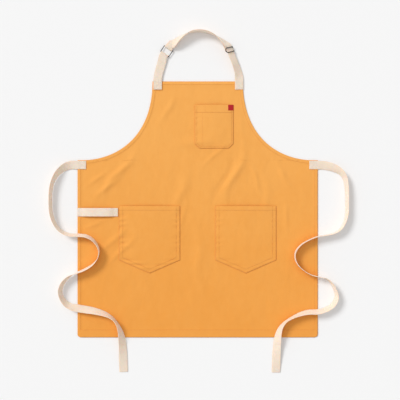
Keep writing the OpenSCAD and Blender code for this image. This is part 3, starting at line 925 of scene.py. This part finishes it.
neck_tab_y, tie_tab_x, on_tape = 0.2533, HALF_WIDTH - 0.0155, DOUBLE + WEB_THICK
box_and_cross("short_strap_stitching", SHORT_X * MM, neck_tab_y, on_tape + 2 * HALF_PAIR * MM)
box_and_cross("long_strap_stitching", LONG_X * MM, neck_tab_y, on_tape)
box_and_cross("left_tie_stitching", -tie_tab_x, TAB_Y * MM, on_tape)
box_and_cross("right_tie_stitching", tie_tab_x, TAB_Y * MM, on_tape)
seam("towel_loop_stitching", [
    [(x, y, DOUBLE + 1.9 * MM + under_loop(x)) for _, y in straight(
        (0, loop_low.y + 2.5 * MM), (0, loop_high.y - 2.5 * MM), 10)]
    for x in (loop_high.x - 3 * MM, loop_high.x - 7 * MM)])
end_line = [slide_turn @ (Vector((11.5, y, LOW - 0.85)) * MM) for y in np.linspace(-12, 12, 10)]
seam("strap_end_stitching", [end_line], "slide")

# %% [markdown]
# ## Ring and slide
# Both are bent from round wire. A bent frame is a rounded rectangle, made here as a flat outline
# whose corners are rounded with arcs of points, and then a curve with the wire's thickness follows it.
# Bright brass would glare beside the mustard, so such hardware is given a dark antique finish.

# %% Wire frames


def wire_piece(name, loops, place, body, node):
    """Round wire along outlines, placed in the model, as one mesh."""
    curve = bpy.data.curves.new(name, "CURVE")
    curve.dimensions, curve.bevel_depth, curve.bevel_resolution = "3D", WIRE / 2, 5
    curve.use_fill_caps = True
    for points, closed in loops:
        spline = curve.splines.new("POLY")
        spline.points.add(len(points) - 1)
        for spot, p in zip(spline.points, points):
            spot.co = (*(place @ (Vector(p) * MM)), 1)
        spline.use_cyclic_u = closed
    made = bpy.data.objects.new(name + "_line", curve)
    bpy.context.collection.objects.link(made)
    shown = made.evaluated_get(bpy.context.evaluated_depsgraph_get())
    mesh = bpy.data.meshes.new_from_object(shown)
    bpy.data.objects.remove(made)
    bm = bmesh.new()
    bm.from_mesh(mesh)
    bmesh.ops.remove_doubles(bm, verts=bm.verts, dist=0.00001)
    bmesh.ops.recalc_face_normals(bm, faces=bm.faces)
    piece = new_piece(name, bm, body, node)
    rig.slot(piece, "metal")
    print(name, "has", len(piece.data.polygons), "faces")
    return piece


def rounded(length, width, radius, ends=0.0, middle=0.0):
    """A rounded rectangle's points, with the heights of its ends and of the middle between them."""
    points = []
    for sx, sy, start in ((1, 1, 0), (-1, 1, 90), (-1, -1, 180), (1, -1, 270)):
        for k in range(5):
            a = math.radians(start + 22.5 * k)
            points.append((sx * (length / 2 - radius) + radius * math.cos(a),
                           sy * (width / 2 - radius) + radius * math.sin(a)))
        if sx == sy:
            points.append((0, sy * width / 2))
    return [(x, y, middle + (ends - middle) * abs(2 * x / length)) for x, y in points]


ring_turn = (Matrix.Translation(Vector((*RING_AT, RING_HEIGHT)) * MM)
             @ Matrix.Rotation(math.radians(RING_DIR), 4, "Z"))
WIRE_BEND = 1.6
ring_width, slide_width = (2 * HALF_WEB + 2 * play + WIRE / MM for play in (1, 0.4))
ring = wire_piece("ring_wire", [(rounded(RING_LEN, ring_width, WIRE_BEND), True)], ring_turn,
                  "ring", "strap_ring")
slide = wire_piece("slide_wire", [
    (rounded(SLIDE_LEN, slide_width, WIRE_BEND, BAR_GAP, -BAR_LOW), True),
    ([(0, y, -BAR_LOW) for y in (-slide_width / 2, 0, slide_width / 2)], False)],
    slide_turn, "slide", "strap_slide")

# %% [markdown]
# ## Finishes
# Four effects are shared, so each is a node group that is built once: a twill weave for the panel
# and the pockets, a ribbed tape weave for the webbing, a line that a seam presses into cloth, and
# the mottling that dyed cotton has. The groups give values that change over the surface. What is
# the same all over, such as sheen, is set on each material's own shader.

# %% Helpers for node groups


class Nodes:
    """Short ways to add and link nodes in one tree."""

    def __init__(self, tree):
        self.tree = tree

    def add(self, kind, **settings):
        node = self.tree.nodes.new(kind)
        for name, value in settings.items():
            setattr(node, name, value)
        return node

    def link(self, source, target):
        self.tree.links.new(source, target)

    def put(self, value, socket):
        if isinstance(value, bpy.types.NodeSocket):
            self.link(value, socket)
        else:
            socket.default_value = value

    def math(self, operation, a, b=0.0):
        node = self.add("ShaderNodeMath", operation=operation)
        self.put(a, node.inputs[0])
        self.put(b, node.inputs[1])
        return node.outputs[0]

    def span(self, value, low, high, to_low=0.0, to_high=1.0):
        node = self.add("ShaderNodeMapRange", interpolation_type="SMOOTHSTEP")
        for socket, x in zip(node.inputs, (value, low, high, to_low, to_high)):
            self.put(x, socket)
        return node.outputs[0]

    def blend(self, factor, a, b):
        node = self.add("ShaderNodeMix", data_type="RGBA")
        for socket, x in ((node.inputs[0], factor), (node.inputs[6], a), (node.inputs[7], b)):
            self.put(x, socket)
        return node.outputs[2]

    def noise(self, vector, scale, detail=2.0, rough=0.5):
        node = self.add("ShaderNodeTexNoise")
        self.put(vector, node.inputs["Vector"])
        node.inputs["Scale"].default_value = scale
        node.inputs["Detail"].default_value = detail
        node.inputs["Roughness"].default_value = rough
        return node.outputs["Fac"]

    def attribute(self, name):
        return self.add("ShaderNodeAttribute", attribute_name=name).outputs["Fac"]

    def place(self):
        """Where a point is on the piece, in metres."""
        return self.add("ShaderNodeTexCoord").outputs["Object"]

    def xyz(self, vector):
        node = self.add("ShaderNodeSeparateXYZ")
        self.put(vector, node.inputs[0])
        return node.outputs


def group(name, inputs, outputs, build):
    """A node group with float or vector inputs and float outputs."""
    tree = bpy.data.node_groups.new(name, "ShaderNodeTree")
    kinds = {"v": "NodeSocketVector", "f": "NodeSocketFloat"}
    for label, kind in inputs:
        tree.interface.new_socket(name=label, in_out="INPUT", socket_type=kinds[kind])
    for label, kind in outputs:
        tree.interface.new_socket(name=label, in_out="OUTPUT", socket_type=kinds[kind])
    nodes = Nodes(tree)
    given = nodes.add("NodeGroupInput").outputs
    taken = nodes.add("NodeGroupOutput").inputs
    for label, socket in build(nodes, given).items():
        nodes.link(socket, taken[label])
    print("node group:", name)
    return tree


# %% [markdown]
# Twill shows as fine diagonal ribs, because each row of weft steps one thread along. The ribs are a
# sine across the diagonal, broken up by the weft, and a little noise makes some threads thicker.

# %% Twill weave


def build_twill(n, given):
    place, pitch = given["Place"], given["Threads per metre"]
    x, y, _ = n.xyz(place)
    wobble = n.math("MULTIPLY", n.noise(place, 160, 2), 0.0016)
    across = n.math("ADD", n.math("ADD", x, y), wobble)
    rib = n.math("SINE", n.math("MULTIPLY", n.math("MULTIPLY", across, pitch), 6.2832))
    weft = n.math("SINE", n.math("MULTIPLY", n.math("MULTIPLY", y, pitch), 12.5664))
    slub = n.noise(place, 900, 2)
    height = n.math("ADD", n.math("MULTIPLY", rib, 0.34), n.math("MULTIPLY", weft, 0.14))
    height = n.math("ADD", height, n.math("MULTIPLY", slub, 0.5))
    return {"Height": n.math("ADD", height, 0.25), "Thread": n.span(slub, 0.3, 0.7)}


twill_group = group("Twill weave", [("Place", "v"), ("Threads per metre", "f")],
                    [("Height", "f"), ("Thread", "f")], build_twill)

# %% Tape weave: ribs along the tape, picks across it, and a firm edge


def build_tape(n, given):
    across, along_tape, _ = n.xyz(given["Place"])
    rib = n.math("SINE", n.math("MULTIPLY", across, 6.2832 / 0.0019))
    pick = n.math("SINE", n.math("MULTIPLY", along_tape, 6.2832 / 0.0016))
    woven = n.math("MULTIPLY", rib, pick)
    fuzz = n.noise(given["Place"], 1200, 3)
    edge = n.math("ABSOLUTE", n.math("SUBTRACT", across, 0.0143))
    selvedge = n.span(edge, 0.0122, 0.0128)
    height = n.math("ADD", n.math("MULTIPLY", woven, 0.35), n.math("MULTIPLY", fuzz, 0.5))
    height = n.math("ADD", n.math("ADD", height, 0.3), n.math("MULTIPLY", selvedge, -0.25))
    return {"Height": height, "Selvedge": selvedge, "Fuzz": n.span(fuzz, 0.3, 0.7)}


tape_group = group("Tape weave", [("Place", "v")],
                   [("Height", "f"), ("Selvedge", "f"), ("Fuzz", "f")], build_tape)

# %% [markdown]
# A seam pulls the cloth in under its stitches and leaves small puckers that cross it. The group
# takes the distance from the seam, how wide the dent is and where it is, and gives its depth, and
# a mask of the dent that the materials use for painted shade in the seam.

# %% Pressed seam


def build_seam(n, given):
    away = n.math("ABSOLUTE", n.math("SUBTRACT", given["Distance"], given["Line"]))
    dent = n.math("SUBTRACT", 1.0, n.span(away, 0.0, given["Width"]))
    pucker = n.noise(given["Place"], 110, 1)
    near = n.math("SUBTRACT", 1.0, n.span(away, 0.0, n.math("MULTIPLY", given["Width"], 4.0)))
    rise = n.math("MULTIPLY", n.math("SUBTRACT", pucker, 0.5), n.math("MULTIPLY", near, 0.9))
    return {"Depth": n.math("SUBTRACT", dent, rise), "Mask": dent}


seam_group = group("Pressed seam",
                   [("Distance", "f"), ("Line", "f"), ("Width", "f"), ("Place", "v")],
                   [("Depth", "f"), ("Mask", "f")], build_seam)

# %% Mottling of dyed cotton


def build_mottle(n, given):
    broad, fine = n.noise(given["Place"], 5.5, 3, 0.6), n.noise(given["Place"], 45, 3, 0.6)
    mixed = n.math("ADD", n.math("MULTIPLY", broad, 0.6), n.math("MULTIPLY", fine, 0.4))
    return {"Mask": n.span(mixed, 0.36, 0.64)}


mottle_group = group("Cotton mottle", [("Place", "v")], [("Mask", "f")], build_mottle)

# %% [markdown]
# Each material keeps its own shader. Cotton is rough all over, with a faint sheen from its fuzz.
# Where the seams press the cloth down it is painted darker, as painted shade in the crease, and the
# twill is painted paler towards the bib top and deeper towards the hem, as a painted light falloff.

# %% A material's shell


def start_material(name, rough, sheen=0.0):
    material = bpy.data.materials.new(name)
    material.use_nodes = True
    n = Nodes(material.node_tree)
    shader = material.node_tree.nodes["Principled BSDF"]
    shader.inputs["Roughness"].default_value = rough
    shader.inputs["Sheen Weight"].default_value = sheen
    shader.inputs["Sheen Roughness"].default_value = 0.6
    return material, n, shader


def use(n, tree, **values):
    """Adds a shared group. An underscore in a value's name stands for a space."""
    node = n.add("ShaderNodeGroup", node_tree=tree)
    for label, value in values.items():
        n.put(value, node.inputs[label.replace("_", " ")])
    return node.outputs


def bump(n, shader, height, distance):
    node = n.add("ShaderNodeBump")
    node.inputs["Strength"].default_value = 1.0
    node.inputs["Distance"].default_value = distance
    n.put(height, node.inputs["Height"])
    n.link(node.outputs[0], shader.inputs["Normal"])


def color(red, green, blue):
    """Screen colours from 0 to 255 as the linear values that nodes use."""
    linear = [c / 255 / 12.92 if c <= 10 else ((c / 255 + 0.055) / 1.055) ** 2.4
              for c in (red, green, blue)]
    return (*linear, 1.0)


# %% Mustard twill, for the panel and for the pockets
# The light and deep mustards are the two ends of a painted light falloff, paler at the bib top; the deep one is also
# the tone of thicker threads. The seam colour is painted shade in seam creases, and the shade colour is painted shade
# where ambient occlusion finds nearby geometry.
MUSTARD_LIGHT, MUSTARD_DEEP = (248, 175, 84), (242, 159, 60)
MUSTARD_SEAM_SHADE, MUSTARD_SHADE = (196, 112, 22), (214, 120, 20)


def twill_material(name, seams):
    """Twill with seams as (attribute, line, width, how strongly it shows)."""
    material, n, shader = start_material(name, 0.86, 0.12)
    place = n.place()
    weave = use(n, twill_group, Place=place, Threads_per_metre=620.0)
    mottle = use(n, mottle_group, Place=place)["Mask"]
    _, height_up, _ = n.xyz(place)
    # Painted light falloff: the twill is paler towards the bib top and deeper towards the hem, mixed with random
    # mottle.
    painted_falloff_and_mottle = n.math("ADD", n.span(height_up, -0.65, 0.25, 0.0, 0.8),
                   n.math("MULTIPLY", mottle, 0.2))
    shade = n.blend(painted_falloff_and_mottle, color(*MUSTARD_DEEP), color(*MUSTARD_LIGHT))
    shade = n.blend(n.math("MULTIPLY", weave["Thread"], 0.15), shade, color(*MUSTARD_DEEP))
    height = n.math("MULTIPLY", weave["Height"], 0.18)
    slant = n.add("ShaderNodeMapping")
    slant.inputs["Rotation"].default_value = (0, 0, math.radians(-38))
    slant.inputs["Scale"].default_value = (1, 0.55, 1)
    n.put(place, slant.inputs["Vector"])
    height = n.math("ADD", height, n.math("MULTIPLY", n.noise(slant.outputs[0], 34, 2, 0.45), 2.2))
    for attribute, line, width, strong in seams:
        seam_dent_shade = use(n, seam_group, Distance=n.attribute(attribute), Line=line, Width=width,
                      Place=place)
        height = n.math("SUBTRACT", height, n.math("MULTIPLY", seam_dent_shade["Depth"], strong))
        # Painted shade: the cloth in the seam's dent is darkened towards the seam colour.
        shade = n.blend(n.math("MULTIPLY", seam_dent_shade["Mask"], strong), shade, color(*MUSTARD_SEAM_SHADE))
    # Painted shade: the twill is coloured deeper orange where ambient occlusion finds nearby geometry, beside the ties
    # and the pocket edges.
    occlusion_shade = n.add("ShaderNodeAmbientOcclusion", samples=6)
    occlusion_shade.inputs["Distance"].default_value = 0.03
    shade = n.blend(n.span(occlusion_shade.outputs["AO"], 0.3, 0.93, 0.6, 0.0), shade, color(*MUSTARD_SHADE))
    n.link(shade, shader.inputs["Base Color"])
    bump(n, shader, height, 0.0008)
    return material


# The hem entry paints shade into the hem's crease. In the pockets, the first edge entry paints a shade line along the
# sewn outline, and the others paint shade into the seam creases.
panel_twill = twill_material("Mustard twill panel", [("hem", -0.0016, 0.0009, 0.28)])
hip_twill, chest_twill = (twill_material(f"Mustard twill {word} pocket", [
    ("edge", 0.0, 0.0012, 0.55), ("edge", outer, 0.0007, 0.3), ("edge", inner, 0.0009, 0.4),
    ("mouth", mouth, 0.0009, 0.5)])
    for word, outer, inner, mouth in (("hip", 0.0025, 0.013, 0.0143),
                                      ("chest", 0.002, 0.007, 0.0255)))

# %% Cream cotton webbing
webbing, n, shader = start_material("Cream cotton webbing", 0.9, 0.15)
tape_place = n.add("ShaderNodeUVMap", uv_map="Tape").outputs[0]
weave = use(n, tape_group, Place=tape_place)
mottle = use(n, mottle_group, Place=n.place())["Mask"]
cream = n.blend(mottle, color(253, 229, 209), color(255, 234, 216))
cream = n.blend(n.math("MULTIPLY", weave["Fuzz"], 0.25), cream, color(246, 218, 195))
cream = n.blend(n.math("MULTIPLY", weave["Selvedge"], 0.25), cream, color(246, 214, 188))
shader.inputs["Subsurface Weight"].default_value = 0.25
shader.inputs["Subsurface Radius"].default_value = (1.0, 0.6, 0.4)
shader.inputs["Subsurface Scale"].default_value = 0.004
n.link(cream, shader.inputs["Base Color"])
bump(n, shader, weave["Height"], 0.0005)

# %% Thread, tag and antique wire


def thread_material(name, dark, light):
    material, n, shader = start_material(name, 0.7, 0.1)
    twist = n.noise(n.place(), 1500, 2)
    n.link(n.blend(n.span(twist, 0.3, 0.7), dark, light), shader.inputs["Base Color"])
    bump(n, shader, twist, 0.0002)
    return material


thread = thread_material("Mustard thread", color(226, 148, 58), color(250, 186, 100))
cream_thread = thread_material("Cream thread", color(222, 205, 184), color(246, 236, 222))

tag_red, n, shader = start_material("Woven red tag", 0.8)
weave = use(n, twill_group, Place=n.place(), Threads_per_metre=1400.0)
n.link(n.blend(weave["Thread"], color(178, 14, 26), color(198, 24, 34)),
       shader.inputs["Base Color"])
bump(n, shader, weave["Height"], 0.0002)

antique, n, shader = start_material("Antique brass wire", 0.55)
place = n.place()
worn = n.span(n.noise(place, 220, 4, 0.65), 0.5, 0.72)
n.link(n.blend(worn, color(14, 9, 6), color(46, 30, 19)), shader.inputs["Base Color"])
shader.inputs["Specular IOR Level"].default_value = 0.12
n.link(n.span(worn, 0.0, 1.0, 0.6, 0.5), shader.inputs["Roughness"])
bump(n, shader, n.noise(place, 900, 3), 0.00008)

# %% Each piece gets its finish
finishes = {panel: panel_twill, left_hip_cloth: hip_twill, right_hip_cloth: hip_twill,
            chest_cloth: chest_twill, tag: tag_red, ring: antique, slide: antique}
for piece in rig.pieces():
    if piece not in finishes:
        sewn_webbing = any(word in piece.name for word in ("strap", "tie", "loop"))
        stitched = piece.name.endswith("_stitches")
        finishes[piece] = (cream_thread if sewn_webbing else thread) if stitched else webbing
    piece.data.materials.clear()
    piece.data.materials.append(finishes[piece])
print(len(finishes), "pieces have a finish")

# %% [markdown]
# ## Cloth declared as what it is
# The panel and the pockets are sheets, cut flat and laid down. None of them is a rectangle, so each
# one's area is measured on its laid mesh, and it is held to the area of the box around it.

# %% Sheets


def laid_area(piece):
    """Area of the mesh before it gets its thickness."""
    bm = bmesh.new()
    bm.from_mesh(piece.data)
    area = sum(f.calc_area() for f in bm.faces)
    bm.free()
    return area


def declare_sheet(piece, held_on, extra=()):
    size = piece.dimensions
    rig.sheet(piece, flat=(size.x, size.y), held="laid", rests_on=held_on, with_pieces=list(extra),
             area=min(laid_area(piece), size.x * size.y))


bpy.context.view_layer.update()
declare_sheet(panel, [], [side_seams, arm_seams, top_seam, hem_seam])
declare_sheet(left_hip_cloth, [panel], [left_hip_seams])
declare_sheet(right_hip_cloth, [panel], [right_hip_seams])
declare_sheet(chest_cloth, [panel], [chest_seams, pen_seam])
print("panel area", round(laid_area(panel), 3), "square metres")

# %% [markdown]
# ## Table and light
# A white table and a broad soft light from the upper left, as in a studio, with enough light from
# all round to keep the shadows faint. A wide sun lights both corners of the table alike.

# %% Table
bm = bmesh.new()
bmesh.ops.create_grid(bm, x_segments=1, y_segments=1, size=6)
floor = new_piece("table", bm, None)
floor.location.z = -0.0006
table_white, n, shader = start_material("Table white", 0.9)
shader.inputs["Base Color"].default_value = (0.93, 0.93, 0.93, 1)
floor.data.materials.append(table_white)
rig.stage(floor)

# %% Light
world = bpy.data.worlds.new("Studio")
bpy.context.scene.world = world
world.use_nodes = True
world.node_tree.nodes["Background"].inputs[0].default_value = (1, 1, 1, 1)
world.node_tree.nodes["Background"].inputs[1].default_value = 0.63

key = bpy.data.objects.new("Key", bpy.data.lights.new("Key", "SUN"))
key.data.energy, key.data.angle = 1.78, math.radians(20)
key.rotation_euler = Vector((0.95, -0.75, -1.02)).to_track_quat("-Z", "Y").to_euler()
bpy.context.collection.objects.link(key)
bpy.context.scene.view_settings.view_transform = "Standard"
print("table and light are set")

# %% Sizes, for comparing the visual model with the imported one
visual_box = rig.bounds()
with open("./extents.json", "w") as sizes:
    json.dump({"cad": [list(p) for p in cad_box], "visual": [list(p) for p in visual_box]}, sizes)
print("visual model, metres:", [round(b - a, 3) for a, b in zip(*visual_box)])
